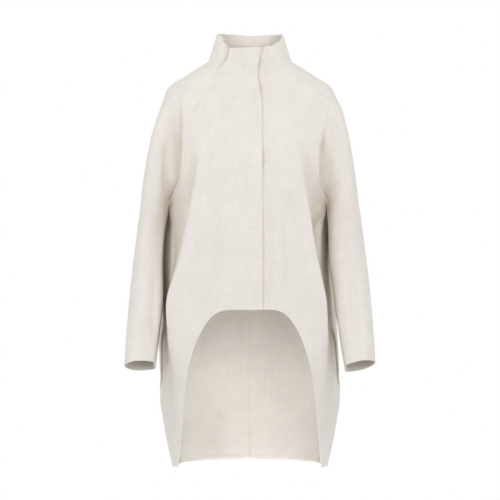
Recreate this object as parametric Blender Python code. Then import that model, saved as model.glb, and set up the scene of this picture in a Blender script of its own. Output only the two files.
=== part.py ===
"""An ivory wool cocoon coat with raglan sleeves, a funnel collar and an arched front hem.

The coat keeps the hollow form it has when it is worn.  Lengths are in millimetres and angles in
degrees; MM turns them into Blender's metres.  The front faces -Y, +X is the wearer's left, and the
origin lies between the two neck points, where the shoulders carry the coat.

Every panel is cut from one set of level sections.  Going round half a section, t runs
0 centre front, 1 front raglan or side seam, 2 overarm seam, 3 back raglan or side seam, 4 centre back.
"""

import math

import bmesh
import bpy
import numpy as np

MM = 0.001
CLOTH = 3.0  # double-faced wool
SEAM_GAP = 0.3
IVORY = (0.79, 0.745, 0.69, 1.0)

# Heights
COLLAR_FRONT = 27.0
LEFT_RISE = 5.0  # the left front's top edge rises this much towards the side
NECK_TIP = -22.0  # where collar, front and sleeve meet
NAPE = 10.0
UNDERARM = -335.0
FRONT_HEM = -572.0
HEM = -943.0
CUFF = -700.0

# Front closing: the right front laps over the left
LAP = 28.0
UNDERLAP = 26.0
LAP_STEP = 5.0  # the under layer lies this far behind the upper one
LAP_BLEND = (32.0, 85.0)  # distance from centre front over which the step fades
UNDERLAP_SHORTER = 2.0
EDGE_CURL = 10.5  # the front edge rolls back between its top fastenings
EDGE_CURL_SPAN = (-118.0, 50.0)

# Cuffs: cut square to a forearm that leans forwards
CUFF_RISE_FRONT = 0.29
CUFF_RISE_OUTER = {"right": -0.02, "left": 0.18}

# The body hangs a little to the wearer's right between the arms
LEAN = 10.0
LEAN_SPAN = (-770.0, -190.0)
ARM_STAYS = 0.65  # share of the lean that the forearms don't follow

# Side seam pocket
POCKET_HEAD = -594.0
POCKET_FOOT = -758.0
POCKET_PLACES = (3.16, 3.05, 0.95, 0.82, 0.68)  # from under the back to under the front
POCKET_CLEAR = 2.6

# Mesh density
COLLAR_ROWS = 3
YOKE_ROWS = 11
CROTCH_STEPS = (22.0, 10.0, 3.0)  # rows this far above the underarm
SIDE_ROWS = 6  # underarm to pocket
POCKET_ROWS = 6
SKIRT_ROWS = 4  # pocket to hem
SLEEVE_ROWS = 10
FRONT_COLUMNS = 17
SLEEVE_SHARES = (0.0, 0.08, 0.15, 0.2, 0.3, 0.4, 0.5, 0.6, 0.73, 0.86, 1.0)  # columns of half a sleeve
BACK_COLUMNS = 12


def table(columns, *rows):
    """Rows of a table as one array for each named column, ordered by rising height."""
    values = np.array(sorted(rows), float).T
    return dict(zip(columns.split(), values))


# Raglan seams above the underarm, on the front and on the back.
RAGLAN = table(
    "z front_x front_y back_x back_y",
    (70, 44, -52, 44, 44),
    (34, 50, -57, 50, 49),
    (0, 58, -64, 58, 53),
    (-22, 74, -68, 74, 60),
    (-57, 82, -81, 84, 75),
    (-80, 98, -90, 99, 84),
    (-108, 119, -97, 120, 93),
    (-146, 135, -106, 136, 101),
    (-180, 142, -108, 143, 103),
    (-227, 148, -100, 149, 94),
    (-275, 156, -84, 157, 74),
    (-305, 167, -60, 168, 47),
    (-320, 175, -34, 176, 22),
    (-335, 183, -3, 183, -3),
)

# Side seam below the underarm.
SIDE = table(
    "z seam_x seam_y",
    (-335, 183, -3),
    (-350, 182.2, -3.5),
    (-375, 176, -6),
    (-420, 174, -12),
    (-500, 177, -18),
    (-572, 184, -22),
    (-600, 187, -25),
    (-640, 196, -19),
    (-690, 202, -11),
    (-735, 207, -3),
    (-757, 209.5, 0),
    (-786, 209.5, 5),
    (-833, 203, 10),
    (-880, 195, 12),
    (-943, 181, 15),
)

# Side seam pocket: how far its two edges stand off the seam line.
POCKET = table(
    "z front_x front_y back_x back_y",
    (POCKET_FOOT, 0, 0, 0, 0),
    (-735, -7, -13, 1, 1),
    (-690, -14, -26, 4, 6),
    (-640, -9, -21, 7, 11),
    (POCKET_HEAD, 0, 0, 0, 0),
)

# Front panel: centre front, and the fold where the chest turns to the side; bend is its crispness.
FRONT = table(
    "z cf_y fold_x fold_y fold_turn bend",
    (70, -55, 26, -54.5, 3, 0),
    (34, -62, 30, -61, 4, 0),
    (0, -72, 36, -70.5, 6, 0),
    (-22, -79, 42, -77, 7, 0),
    (-57, -92, 48, -90, 8, 0),
    (-108, -111, 66, -108, 9, 0),
    (-146, -124, 84, -119, 12, 0),
    (-180, -133, 100, -126, 22, 6),
    (-227, -143, 118, -131, 36, 20),
    (-275, -149, 127, -134, 47, 34),
    (-335, -152, 141, -130, 52, 44),
    (-420, -155, 155, -126, 54, 52),
    (-500, -156, 170, -120, 54, 50),
    (-572, -154, 179, -112, 54, 40),
    (-640, -147, 178, -104, 57, 20),
    (-690, -140, 174, -97, 58, 6),
    (-757, -127, 173, -79, 52, 0),
    (-833, -112, 165, -62, 45, 0),
    (-943, -85, 148, -30, 40, 0),
)

# Back panel: where it turns from side to back, and centre back.
BACK = table(
    "z turn_x turn_y turn cb_y",
    (70, 24, 47.5, 6, 49),
    (34, 28, 53, 6, 54),
    (0, 33, 59, 7, 60),
    (-22, 42, 70, 8, 72),
    (-57, 50, 88, 9, 91),
    (-108, 68, 108, 10, 112),
    (-146, 82, 119, 12, 124),
    (-180, 93, 127, 18, 133),
    (-227, 108, 135, 30, 143),
    (-275, 128, 137, 45, 151),
    (-335, 183, 116, 70, 160),
    (-375, 192, 104, 73, 166),
    (-420, 199, 95, 78, 172),
    (-500, 203, 84, 84, 182),
    (-572, 207, 76, 84, 190),
    (-640, 208, 72, 80, 195),
    (-690, 207, 74, 76, 197),
    (-757, 202, 80, 70, 197),
    (-833, 188, 92, 62, 188),
    (-943, 152, 98, 52, 160),
)

# Sleeve: underarm seam (below the underarm) and overarm line.
SLEEVE_LINE = table(
    "z inner_x inner_y outer_x outer_y",
    (70, 184, -3, 75, -4),
    (34, 184, -3, 87, -4),
    (0, 184, -3, 98.5, -4),
    (-8, 184, -3, 111, -3),
    (-18, 184, -3, 128, -2),
    (-36, 184, -3, 156, 0),
    (-50, 184, -3, 180, 2),
    (-64, 184, -3, 193, 3),
    (-78, 184, -3, 199, 4),
    (-106, 184, -3, 208.5, 5),
    (-134, 184, -3, 215.5, 6),
    (-176, 184, -3, 225, 7),
    (-218, 184, -3, 234, 8),
    (-274, 184, -3, 245, 8),
    (-335, 184, -3, 254.5, 6),
    (-350, 184.8, -3, 257, 5),
    (-375, 189, 0, 260.5, 4),
    (-420, 192, 0, 266, 0),
    (-500, 195, -12, 275, -14),
    (-572, 199, -28, 281, -32),
    (-640, 210, -50, 285, -52),
    (-725, 221, -78, 288.5, -78),
)

# Sleeve front: the crease beside the body and the front of the sleeve, with their turns.
SLEEVE_FRONT = table(
    "z crease_x crease_y crease_turn step face_x face_y face_turn",
    (70, 52, -48, 42, 0, 65, -32, 62),
    (34, 58, -53, 40, 0, 75, -34, 60),
    (0, 66, -60, 32, 0, 85, -40, 55),
    (-22, 84, -63, 25, 0, 106, -48, 40),
    (-57, 108, -73, 22, 0, 144, -54, 36),
    (-80, 147, -75, 22, 0, 172, -58, 32),
    (-108, 158, -80, 4, 6, 184, -77, 16),
    (-146, 158, -81, -4, 17, 194, -91, 9),
    (-180, 158, -78, -6, 24, 202, -97, 6),
    (-227, 159, -71, -8, 27, 210, -99, 4),
    (-275, 163, -56, -12, 22, 215, -97, 3),
    (-305, 175, -35, -30, 12, 217, -94, 2),
    (-335, 190, -14, -70, 2, 218, -90, 0),
    (-375, 191, -22, -84, 0, 222, -80, 0),
    (-420, 192, -38, -88, 0, 227, -76, 0),
    (-500, 195, -50, -90, 0, 234, -82, 0),
    (-572, 200, -66, -90, 0, 240, -93, 0),
    (-725, 219, -104, -85, 0, 253, -127, 0),
)

# The left arm's front crease runs further out near the shoulder, and its fold starts lower.
CREASE_SHIFT = table(
    "z left left_step right right_step",
    (-70, 0, 0, 0, 1),
    (-90, 16, 0, 0, 1),
    (-108, 23, 0.3, 0, 1),
    (-146, 13, 0.8, 0, 1),
    (-180, 6, 1, 0, 1),
    (-227, 1, 1, 0, 1),
    (-275, 0, 1, 0, 1),
)

# Sleeve back, mirrored in the same way.
SLEEVE_REAR = table(
    "z crease_x crease_y crease_turn step face_x face_y face_turn",
    (70, 52, 40, 42, 0, 65, 26, 62),
    (34, 58, 45, 40, 0, 75, 28, 60),
    (0, 66, 49, 32, 0, 85, 31, 55),
    (-22, 84, 56, 25, 0, 106, 44, 40),
    (-57, 97, 70, 22, 0, 140, 55, 34),
    (-80, 120, 77, 18, 0, 160, 66, 28),
    (-108, 146, 83, 8, 3, 178, 78, 16),
    (-146, 156, 85, -10, 8, 190, 90, 9),
    (-180, 160, 82, -20, 11, 198, 96, 6),
    (-227, 164, 73, -28, 12, 207, 98, 4),
    (-275, 169, 55, -38, 9, 213, 96, 3),
    (-305, 178, 32, -50, 5, 216, 93, 2),
    (-335, 190, 8, -70, 1, 220, 89, 0),
    (-375, 191, 20, -82, 0, 224, 80, 0),
    (-420, 194, 33, -88, 0, 228, 70, 0),
    (-500, 197, 22, -90, 0, 236, 51, 0),
    (-572, 202, 6, -90, 0, 242, 27, 0),
    (-725, 219, -52, -85, 0, 254, -31, 0),
)

# Arched front hem: half width of the opening at each height.
ARCH = table(
    "z half_width",
    (-572, 48),
    (-573, 58),
    (-576, 69),
    (-585, 83),
    (-594, 92),
    (-610, 103),
    (-628, 113),
    (-650, 122),
    (-673, 129.5),
    (-696, 135),
    (-731, 141),
    (-802, 148),
    (-874, 157),
    (-943, 168),
)

# Collar: neckline seam, and top edge on the wearer's right and left, by place round the neck.
COLLAR = table(
    "t neckline top_right top_left",
    (1.0, NECK_TIP, COLLAR_FRONT, COLLAR_FRONT + LEFT_RISE),
    (1.3, -15, 42, 40),
    (1.6, -7, 58, 49),
    (2.0, 0, 67, 65),
    (2.5, 3, 70, 69),
    (3.0, 5, 71, 70),
    (4.0, NAPE, 68, 68),
)

# Largest folds: soft flutes that hang from the height top and are full at foot.
# place is t on the body, width the half width in t, depth is outwards.
FLUTES = {
    "right": table(
        "place width depth top foot",
        (0.24, 0.11, -5.0, -300, -580),
        (0.42, 0.12, 5.0, -330, -600),
        (3.45, 0.14, 7.0, -420, -900),
        (3.72, 0.13, -7.0, -450, -930),
    ),
    "left": table(
        "place width depth top foot",
        (0.30, 0.10, -4.5, -320, -580),
        (0.44, 0.11, 4.5, -300, -600),
        (3.50, 0.14, 6.0, -430, -900),
        (3.78, 0.13, -6.5, -400, -930),
    ),
}


def column(rows, key, name, at):
    """A table column at given places, on a smooth curve that doesn't overshoot its rows."""
    x, y = rows[key], rows[name]
    step = np.diff(x)
    slope = np.diff(y) / step
    tangent = np.concatenate([[slope[0]], np.zeros(len(x) - 2), [slope[-1]]])
    same_sign = slope[:-1] * slope[1:] > 0
    weight = step[:-1] / (step[:-1] + step[1:])
    blend = np.where(same_sign, weight * slope[1:] + (1 - weight) * slope[:-1], 1.0)
    tangent[1:-1] = np.where(same_sign, slope[:-1] * slope[1:] / blend, 0.0)
    at = np.clip(at, x[0], x[-1])
    i = np.clip(np.searchsorted(x, at) - 1, 0, len(step) - 1)
    h = step[i]
    r = (at - x[i]) / h
    rise = y[i] * (2 * r**3 - 3 * r**2 + 1) + y[i + 1] * (3 * r**2 - 2 * r**3)
    return rise + h * (tangent[i] * (r**3 - 2 * r**2 + r) + tangent[i + 1] * (r**3 - r**2))


def section(rows, z, *names):
    """Several columns of a section table at the heights z."""
    return [column(rows, "z", name, z) for name in names]


def direction(turn):
    """Unit vectors at an angle from +X towards +Y."""
    angle = np.radians(turn)
    return np.stack([np.cos(angle), np.sin(angle)], axis=-1)


def unit(vectors):
    return vectors / np.maximum(np.linalg.norm(vectors, axis=-1, keepdims=True), 1e-9)


def arc(start, start_way, end, end_way, r):
    """A curve from start to end that leaves and arrives along the two ways."""
    reach = np.linalg.norm(end - start, axis=-1, keepdims=True)
    r = r[..., None]
    return (
        start * (2 * r**3 - 3 * r**2 + 1)
        + end * (3 * r**2 - 2 * r**3)
        + reach * (start_way * (r**3 - 2 * r**2 + r) + end_way * (r**3 - r**2))
    )


def smooth(value, low, high):
    """0 below low, 1 above high, and a soft step between."""
    r = np.clip((value - low) / (high - low), 0, 1)
    return r * r * (3 - 2 * r)


def pair(rows, z, name):
    return np.stack(section(rows, z, name + "_x", name + "_y"), axis=-1)


def outer_seam(z, part):
    """The outer seam of the front or back: raglan seam, then side seam and pocket edge."""
    side = pair(SIDE, z, "seam") + pair(POCKET, z, part)
    return np.where((z > UNDERARM)[..., None], pair(RAGLAN, z, part), side)


def body_front(t, z):
    """Section from centre front (t 0) over the fold to the outer seam (t 1)."""
    cf_y, turn, bend = section(FRONT, z, "cf_y", "fold_turn", "bend")
    centre = np.stack([np.zeros_like(cf_y), cf_y], axis=-1)
    fold, edge = pair(FRONT, z, "fold"), outer_seam(z, "front")
    first = arc(centre, direction(0 * turn), fold, direction(turn - bend / 2), np.clip(2 * t, 0, 1))
    second = arc(fold, direction(turn + bend / 2), edge, unit(edge - fold), np.clip(2 * t - 1, 0, 1))
    return np.where((t < 0.5)[..., None], first, second)


def body_back(t, z):
    """Section from the outer seam (t 3) round to centre back (t 4)."""
    cb_y, turn = section(BACK, z, "cb_y", "turn")
    centre = np.stack([np.zeros_like(cb_y), cb_y], axis=-1)
    edge, shoulder = outer_seam(z, "back"), pair(BACK, z, "turn")
    way = direction(180 - turn)
    first = arc(edge, unit(shoulder - edge), shoulder, way, np.clip(2 * (t - 3), 0, 1))
    second = arc(shoulder, way, centre, direction(180 + 0 * turn), np.clip(2 * (t - 3.5), 0, 1))
    return np.where((t < 3.5)[..., None], first, second)


def sleeve_half(r, z, rows, seam, flip, shift=0.0, fold=1.0):
    """Section from the seam over a fold's edge, its crease and the sleeve's face to the overarm line."""
    crease, face = pair(rows, z, "crease"), pair(rows, z, "face")
    crease[..., 0] += shift
    face[..., 0] += shift / 4
    crease_turn, face_turn, step = section(rows, z, "crease_turn", "face_turn", "step")
    step = step * fold
    outer = pair(SLEEVE_LINE, z, "outer")
    face_way = direction(flip * face_turn)
    crease_way = direction(flip * crease_turn)
    edge = crease + np.stack([0 * step, -flip * step], axis=-1)
    knee = 0.2 - 0.05 * smooth(step, 0, 8)
    to_edge, to_crease = np.clip(r / knee, 0, 1), smooth(r, 0.1, 0.2)
    strip = seam + (edge - seam) * to_edge[..., None] + (crease - edge) * to_crease[..., None]
    inner = arc(crease, crease_way, face, face_way, np.clip((r - 0.2) / 0.4, 0, 1))
    round_over = arc(face, face_way, outer, direction(flip * 90.0), np.clip((r - 0.6) / 0.4, 0, 1))
    return np.where((r < 0.2)[..., None], strip, np.where((r < 0.6)[..., None], inner, round_over))


def sleeve(t, z, side):
    """Section round the sleeve, from the front seam (t 1) to the back seam (t 3)."""
    inner = pair(SLEEVE_LINE, z, "inner")
    above = (z > UNDERARM)[..., None]
    front_seam = np.where(above, pair(RAGLAN, z, "front"), inner)
    rear_seam = np.where(above, pair(RAGLAN, z, "back"), inner)
    shift, fold = section(CREASE_SHIFT, z, side, side + "_step")
    front = sleeve_half(np.clip(t - 1, 0, 1), z, SLEEVE_FRONT, front_seam, 1, shift, fold)
    rear = sleeve_half(np.clip(3 - t, 0, 1), z, SLEEVE_REAR, rear_seam, -1)
    return np.where((t < 2)[..., None], front, rear)


def lean(t, z, side, on_sleeve):
    """How far the body and the insides of the sleeves lean outwards on one side."""
    low, high = LEAN_SPAN
    amount = np.sin(np.pi * np.clip((z - low) / (high - low), 0, 1)) ** 2
    round_body = smooth(t, 0.2, 0.6) * smooth(4 - t, 0.2, 0.6)
    over_arm = smooth(np.abs(t - 2), 0.0, 0.6)
    lower_arm = 1 - ARM_STAYS * smooth(-z, 450, 560) * on_sleeve
    return LEAN * amount * round_body * over_arm * lower_arm * (1 if side == "right" else -1)


def level_point(t, z, side, of_sleeve):
    """Points of the half section, walking on past a seam to what is sewn there."""
    sign = np.where((t < 0) | (t > 4), -1.0, 1.0)
    t = np.where(t < 0, -t, np.where(t > 4, 8 - t, t))
    below = z <= UNDERARM
    if of_sleeve:
        t = np.where(below & (t < 1), t + 2, np.where(below & (t > 3), t - 2, t))
    else:
        t = np.where(below & (t > 1) & (t < 2), t + 2, t)
        t = np.where(below & (t >= 2) & (t < 3), t - 2, t)
    edge = 1e-6 if of_sleeve else -1e-6  # a seam point belongs to the piece being made
    points = np.where(
        (t < 1 - edge)[..., None],
        body_front(t, z),
        np.where((t > 3 + edge)[..., None], body_back(t, z), sleeve(t, z, side)),
    )
    on_sleeve = (t >= 1 - edge) & (t <= 3 + edge)
    x = (points[..., 0] + lean(t, z, side, on_sleeve)) * sign
    return np.stack([x, points[..., 1], z], axis=-1)


def outward(t, z, side, of_sleeve):
    """Unit normals of the sections, pointing out of the coat and halving the angle at a crease."""
    step_t, step_z = 0.01, 1.0
    here = level_point(t, z, side, of_sleeve)
    ahead = unit(level_point(t + step_t, z, side, of_sleeve) - here)
    behind = unit(here - level_point(t - step_t, z, side, of_sleeve))
    down = np.where(z <= UNDERARM, -step_z, 0.0)
    high = level_point(t, z + down + step_z, side, of_sleeve)
    low = level_point(t, z + down, side, of_sleeve)
    return unit(np.cross(ahead + behind, high - low))


def flutes(t, z, side):
    """How far the large hanging folds stand out at each point."""
    rows = FLUTES[side]
    height = np.zeros_like(z)
    for place, width, depth, top, foot in zip(*(rows[k] for k in rows)):
        across = np.exp(-(((t - place) / width) ** 2))
        height += depth * across * smooth(-z, -top, -foot)
    return height


def panel_points(t, z, side, of_sleeve):
    """Outer and inner points of a panel, in millimetres, at the places t and heights z."""
    normal = outward(t, z, side, of_sleeve)
    outer = level_point(t, z, side, of_sleeve)
    if not of_sleeve:
        outer = outer + normal * flutes(t, z, side)[..., None]
    inner = outer - normal * CLOTH
    mirror = np.array([-1.0 if side == "right" else 1.0, 1.0, 1.0])
    return outer * mirror, inner * mirror


def leave_gap(outer, inner):
    """Draws all four edges back by half a seam gap, square to the cut edge."""
    for axis in (0, 1):
        out_rows, in_rows = np.swapaxes(outer, 0, axis), np.swapaxes(inner, 0, axis)
        for edge, beside in ((0, 1), (-1, -2)):
            through = unit(in_rows[edge] - out_rows[edge])
            way = out_rows[beside] - out_rows[edge]
            way = unit(way - through * (way * through).sum(axis=-1, keepdims=True))
            out_rows[edge] += way * SEAM_GAP / 2
            in_rows[edge] += way * SEAM_GAP / 2


def cloth_material(name):
    material = bpy.data.materials.new(name)
    material.use_nodes = True
    shader = material.node_tree.nodes["Principled BSDF"]
    shader.inputs["Base Color"].default_value = IVORY
    shader.inputs["Roughness"].default_value = 0.95
    shader.inputs["Metallic"].default_value = 0.0
    shader.inputs["Sheen Weight"].default_value = 0.3
    return material


def split_cut_edge(face, inside):
    """Splits a quad of a cut edge the same way on both sides of a seam."""
    first, second = [vert for vert in face.verts if not inside[vert]]
    along = first.co - second.co
    axis = max(range(3), key=lambda k: abs(along[k]))
    start, end = (first, second) if along[axis] > 0 else (second, first)
    across = [edge.other_vert(end) for edge in end.link_edges if edge in face.edges[:]]
    bmesh.utils.face_split(face, start, next(vert for vert in across if inside[vert]))


def cloth_wall(name, outer, inner, collection):
    """A closed wall between two grids of points."""
    leave_gap(outer, inner)
    rows, columns = outer.shape[:2]
    bm = bmesh.new()
    bmesh.ops.create_grid(bm, x_segments=columns - 1, y_segments=rows - 1, size=0.5)
    sheet = bm.faces[:]
    made = bmesh.ops.extrude_face_region(bm, geom=sheet, use_keep_orig=True)
    for item in made["geom"]:
        if isinstance(item, bmesh.types.BMVert):
            item.co.z = 1.0
    cut_edge = [face for face in bm.faces if 0.1 < face.calc_center_median().z < 0.9]
    inside = {vert: vert.co.z > 0.5 for vert in bm.verts}
    for vert in bm.verts:
        i = round((vert.co.x + 0.5) * (columns - 1))
        j = round((vert.co.y + 0.5) * (rows - 1))
        grid = inner if inside[vert] else outer
        vert.co = grid[j, i] * MM
    for face in cut_edge:
        split_cut_edge(face, inside)
    bmesh.ops.recalc_face_normals(bm, faces=bm.faces)
    if bm.calc_volume(signed=True) < 0:
        bmesh.ops.reverse_faces(bm, faces=bm.faces)
    mesh = bpy.data.meshes.new(name)
    bm.to_mesh(mesh)
    bm.free()
    mesh.shade_smooth()
    mesh.set_sharp_from_angle(angle=math.radians(50))
    mesh.materials.append(cloth_material(name + "_wool"))
    cloth = bpy.data.objects.new(name, mesh)
    collection.objects.link(cloth)
    return cloth


def heights(*stops):
    """Heights from stop to stop, each stretch cut into the number of rows given between."""
    levels = [np.array([stops[0]])]
    for start, rows, end in zip(stops[0::2], stops[1::2], stops[2::2]):
        levels.append(np.linspace(start, end, rows + 1)[1:])
    return np.concatenate(levels)


def share(levels):
    return (levels - levels[0]) / (levels[-1] - levels[0])


def crotch_rows(top):
    """Raglan seam heights, closer together near the underarm."""
    r = np.linspace(0, 1, YOKE_ROWS - len(CROTCH_STEPS) + 1)
    start = UNDERARM + CROTCH_STEPS[0]
    upper = top + (start - top) * (1.2 * r - 0.2 * r**3)
    return np.concatenate([upper, [UNDERARM + step for step in CROTCH_STEPS[1:]], [UNDERARM]])


def side_rows():
    """Heights of the rows on the side seam."""
    return heights(UNDERARM, SIDE_ROWS, POCKET_HEAD, POCKET_ROWS, POCKET_FOOT, SKIRT_ROWS, HEM)


def seam_levels(side):
    """Heights of the rows on the front's outer edge: collar seam, raglan seam, side seam."""
    collar = np.linspace(front_head(1.0, side), NECK_TIP, COLLAR_ROWS + 1)[:-1]
    return np.concatenate([collar, crotch_rows(NECK_TIP), side_rows()[1:]])


def arch_line(side):
    """Places (t, z) along the front's lower edge, from its free edge to the side seam."""
    free = front_edge(np.array([FRONT_HEM]), side)[0]
    z = np.concatenate([[FRONT_HEM], np.linspace(FRONT_HEM, HEM, 400), [HEM]])
    half_width = column(ARCH, "z", "half_width", z)
    ladder = np.linspace(0, 1, 201)
    t = np.empty_like(z)
    for k, (height, width) in enumerate(zip(z, half_width)):
        x = body_front(ladder, np.full_like(ladder, height))[:, 0]
        widest = int(np.argmax(x)) + 1
        t[k] = np.interp(width, x[:widest], ladder[:widest])
    t[0], t[-1] = free, 1.0
    return t, z


def front_head(s, side):
    """Height of the front's top edge, from its free edge (s 0) to the collar's seam (s 1)."""
    return COLLAR_FRONT + LEFT_RISE * smooth(s, 0.25, 1.0) * (side == "left")


def front_edge(z, side):
    """Place of the front's free edge, past centre front, at each height."""
    if side == "left":
        return np.full_like(z, -UNDERLAP / 100)
    low, high = EDGE_CURL_SPAN
    curl = np.sin(np.pi * np.clip((z - low) / (high - low), 0, 1)) ** 2
    return -(LAP - EDGE_CURL * curl) / 100


def front_grid(side, columns, rows_on_seam):
    """Places (t, z) of a front panel's points, fitted to its arched hem."""
    t_arch, z_arch = arch_line(side)
    step = np.hypot(np.diff(t_arch) * 200, np.diff(z_arch))
    length = np.concatenate([[0], np.cumsum(step)]) / step.sum()
    across = (t_arch - t_arch[0]) / (t_arch[-1] - t_arch[0])
    key = 0.5 * length + 0.5 * across
    s = np.linspace(0, 1, columns + 1)
    t_foot, z_foot = np.interp(s, key, t_arch), np.interp(s, key, z_arch)
    if side == "left":
        z_foot = z_foot + UNDERLAP_SHORTER * (1 - smooth(s, 0.0, 0.25))
    fall = share(rows_on_seam)[:, None]
    head = front_head(s, side)
    z = head + fall * (z_foot - head)
    edge = front_edge(z[:, :1], side)
    t_head = edge + (1 - edge) * s
    t = t_head + (t_foot - t_foot[0] * (1 - s) - s) * fall**1.5
    return t, z


def front_points(side, columns, rows_on_seam):
    t, z = front_grid(side, columns, rows_on_seam)
    outer, inner = panel_points(np.maximum(t, 0), z, side, False)
    past = np.minimum(t, 0) * 100 * (-1 if side == "right" else 1)
    outer[..., 0] += past
    inner[..., 0] += past
    if side == "left":
        low, high = LAP_BLEND
        near = 1 - smooth(outer[..., 0], low, np.minimum(high, 0.96 * outer_seam(z, "front")[..., 0]))
        for grid in (outer, inner):
            grid[..., 1] += LAP_STEP * near
    return outer, inner


def make_front(side, collection):
    outer, inner = front_points(side, FRONT_COLUMNS, seam_levels(side))
    cloth_wall("front_" + side, outer, inner, collection)


def make_back(side, collection):
    raglan = crotch_rows(column(COLLAR, "t", "neckline", np.array([3.0]))[0])
    seam = np.concatenate([raglan, side_rows()[1:]])
    t = np.linspace(3, 4, BACK_COLUMNS + 1)[None, :] + 0 * seam[:, None]
    top = column(COLLAR, "t", "neckline", t[0])
    z = top + share(seam)[:, None] * (HEM - top)
    outer, inner = panel_points(t, z, side, False)
    cloth_wall("back_" + side, outer, inner, collection)


def cuff_height(t, side):
    """Heights round the cuff's edge."""
    level = np.full_like(t, CUFF)
    points = sleeve(t, level, side)
    middle = np.array([(points[:, 0].min() + points[:, 0].max()) / 2, SLEEVE_LINE["outer_y"][0]])
    rise = np.array([CUFF_RISE_OUTER[side], -CUFF_RISE_FRONT])
    return CUFF + (points - middle) @ rise


def make_sleeve(side, half, collection):
    start, end = (1.0, 2.0) if half == "front" else (2.0, 3.0)
    shares = np.array(SLEEVE_SHARES)
    places = start + shares if half == "front" else end - shares[::-1]
    top = column(COLLAR, "t", "neckline", places)
    foot = cuff_height(places, side)
    inner_at = 0 if half == "front" else -1
    seam = np.concatenate(
        [crotch_rows(top[inner_at]), heights(UNDERARM, SLEEVE_ROWS, foot[inner_at])[1:]]
    )
    overarm = heights(top[-1 - inner_at], YOKE_ROWS + SLEEVE_ROWS, foot[-1 - inner_at])
    from_seam = np.abs(places - places[inner_at])
    fall = share(seam)[:, None] * (1 - from_seam) + share(overarm)[:, None] * from_seam
    z = top + fall * (foot - top)
    t = places[None, :] + 0 * z
    outer, inner = panel_points(t, z, side, True)
    cloth_wall(f"sleeve_{side}_{half}", outer, inner, collection)


def collar_half(side):
    shares = np.array(SLEEVE_SHARES)
    back = np.linspace(3, 4, BACK_COLUMNS + 1)[1:]
    places = np.concatenate([1 + shares, 3 - shares[-2::-1], back])
    low = column(COLLAR, "t", "neckline", places)
    high = column(COLLAR, "t", "top_" + side, places)
    rise = np.linspace(0, 1, COLLAR_ROWS + 1)[:, None]
    z = low + rise * (high - low)
    return panel_points(places[None, :] + 0 * z, z, side, True)


def make_collar(collection):
    right_outer, right_inner = collar_half("right")
    left_outer, left_inner = collar_half("left")
    outer = np.concatenate([right_outer, left_outer[:, -2::-1]], axis=1)
    inner = np.concatenate([right_inner, left_inner[:, -2::-1]], axis=1)
    cloth_wall("collar", outer, inner, collection)


def make_pocket(side, collection):
    """The facing seen in the open side seam pocket, laid behind back and front."""
    places = np.array(POCKET_PLACES)[None, :]
    z = heights(POCKET_FOOT, POCKET_ROWS, POCKET_HEAD)[:, None] + 0 * places
    t = places + 0 * z
    outer, inner = panel_points(t, z, side, False)
    through = unit(inner - outer)
    face = inner + through * POCKET_CLEAR
    cloth_wall("pocket_" + side, face, face + through * CLOTH, collection)


def main():
    for old in list(bpy.data.objects):
        bpy.data.objects.remove(old)
    coat = bpy.data.collections.new("coat")
    bpy.context.scene.collection.children.link(coat)
    for side in ("right", "left"):
        make_front(side, coat)
        make_back(side, coat)
        make_sleeve(side, "front", coat)
        make_sleeve(side, "back", coat)
        make_pocket(side, coat)
    make_collar(coat)


main()
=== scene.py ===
"""Looks of the ivory wool cocoon coat: fine cloth on the form of its solids, light and camera.

Lengths are in millimetres and angles in degrees; MM turns them into Blender's metres.  The front
faces -Y and +X is the wearer's left.  Every panel is a thin shell on the coat's level sections.
Going round half a section, t runs 0 centre front, 1 front raglan or side seam, 2 overarm seam,
3 back raglan or side seam, 4 centre back.
"""

import math

import bpy
import numpy as np
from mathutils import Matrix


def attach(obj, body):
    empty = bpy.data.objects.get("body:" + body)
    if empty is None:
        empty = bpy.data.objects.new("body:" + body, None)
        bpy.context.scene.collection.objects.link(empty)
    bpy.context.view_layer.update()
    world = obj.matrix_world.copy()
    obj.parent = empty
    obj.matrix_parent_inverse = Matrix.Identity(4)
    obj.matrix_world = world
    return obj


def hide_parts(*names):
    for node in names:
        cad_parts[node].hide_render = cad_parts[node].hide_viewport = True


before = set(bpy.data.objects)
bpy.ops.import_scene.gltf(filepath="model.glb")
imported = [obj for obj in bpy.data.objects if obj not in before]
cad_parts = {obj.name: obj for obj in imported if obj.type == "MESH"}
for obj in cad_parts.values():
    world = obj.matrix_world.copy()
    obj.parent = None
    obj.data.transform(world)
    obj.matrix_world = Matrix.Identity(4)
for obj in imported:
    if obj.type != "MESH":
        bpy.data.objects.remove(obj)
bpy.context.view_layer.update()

MM = 0.001
CLOTH = 3.0  # double-faced wool

# Heights
COLLAR_FRONT = 27.0
LEFT_RISE = 5.0  # the left front's top edge rises this much towards the side
NECK_TIP = -22.0  # where collar, front and sleeve meet
NAPE = 10.0
UNDERARM = -335.0
FRONT_HEM = -572.0
HEM = -943.0
CUFF = -700.0

# Front closing: the right front laps over the left
LAP = 28.0
UNDERLAP = 26.0
LAP_STEP = 5.0  # the under layer lies this far behind the upper one
LAP_BLEND = (32.0, 85.0)  # distance from centre front over which the step fades
UNDERLAP_SHORTER = 2.0
PAST_CENTRE = 100.0  # distance past centre front that counts as 1 in t
EDGE_CURL = 10.5  # the front edge rolls back between its top fastenings
EDGE_CURL_SPAN = (-118.0, 50.0)
FRONT_BREADTH = 200.0  # about the breadth of a front

# Cuffs: cut square to a forearm that leans forwards
CUFF_RISE_FRONT = 0.29
CUFF_RISE_OUTER = {"right": -0.02, "left": 0.18}

# The body hangs a little to the wearer's right between the arms
LEAN = 10.0
LEAN_SPAN = (-770.0, -190.0)
ARM_STAYS = 0.65  # share of the lean that the forearms don't follow

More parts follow.
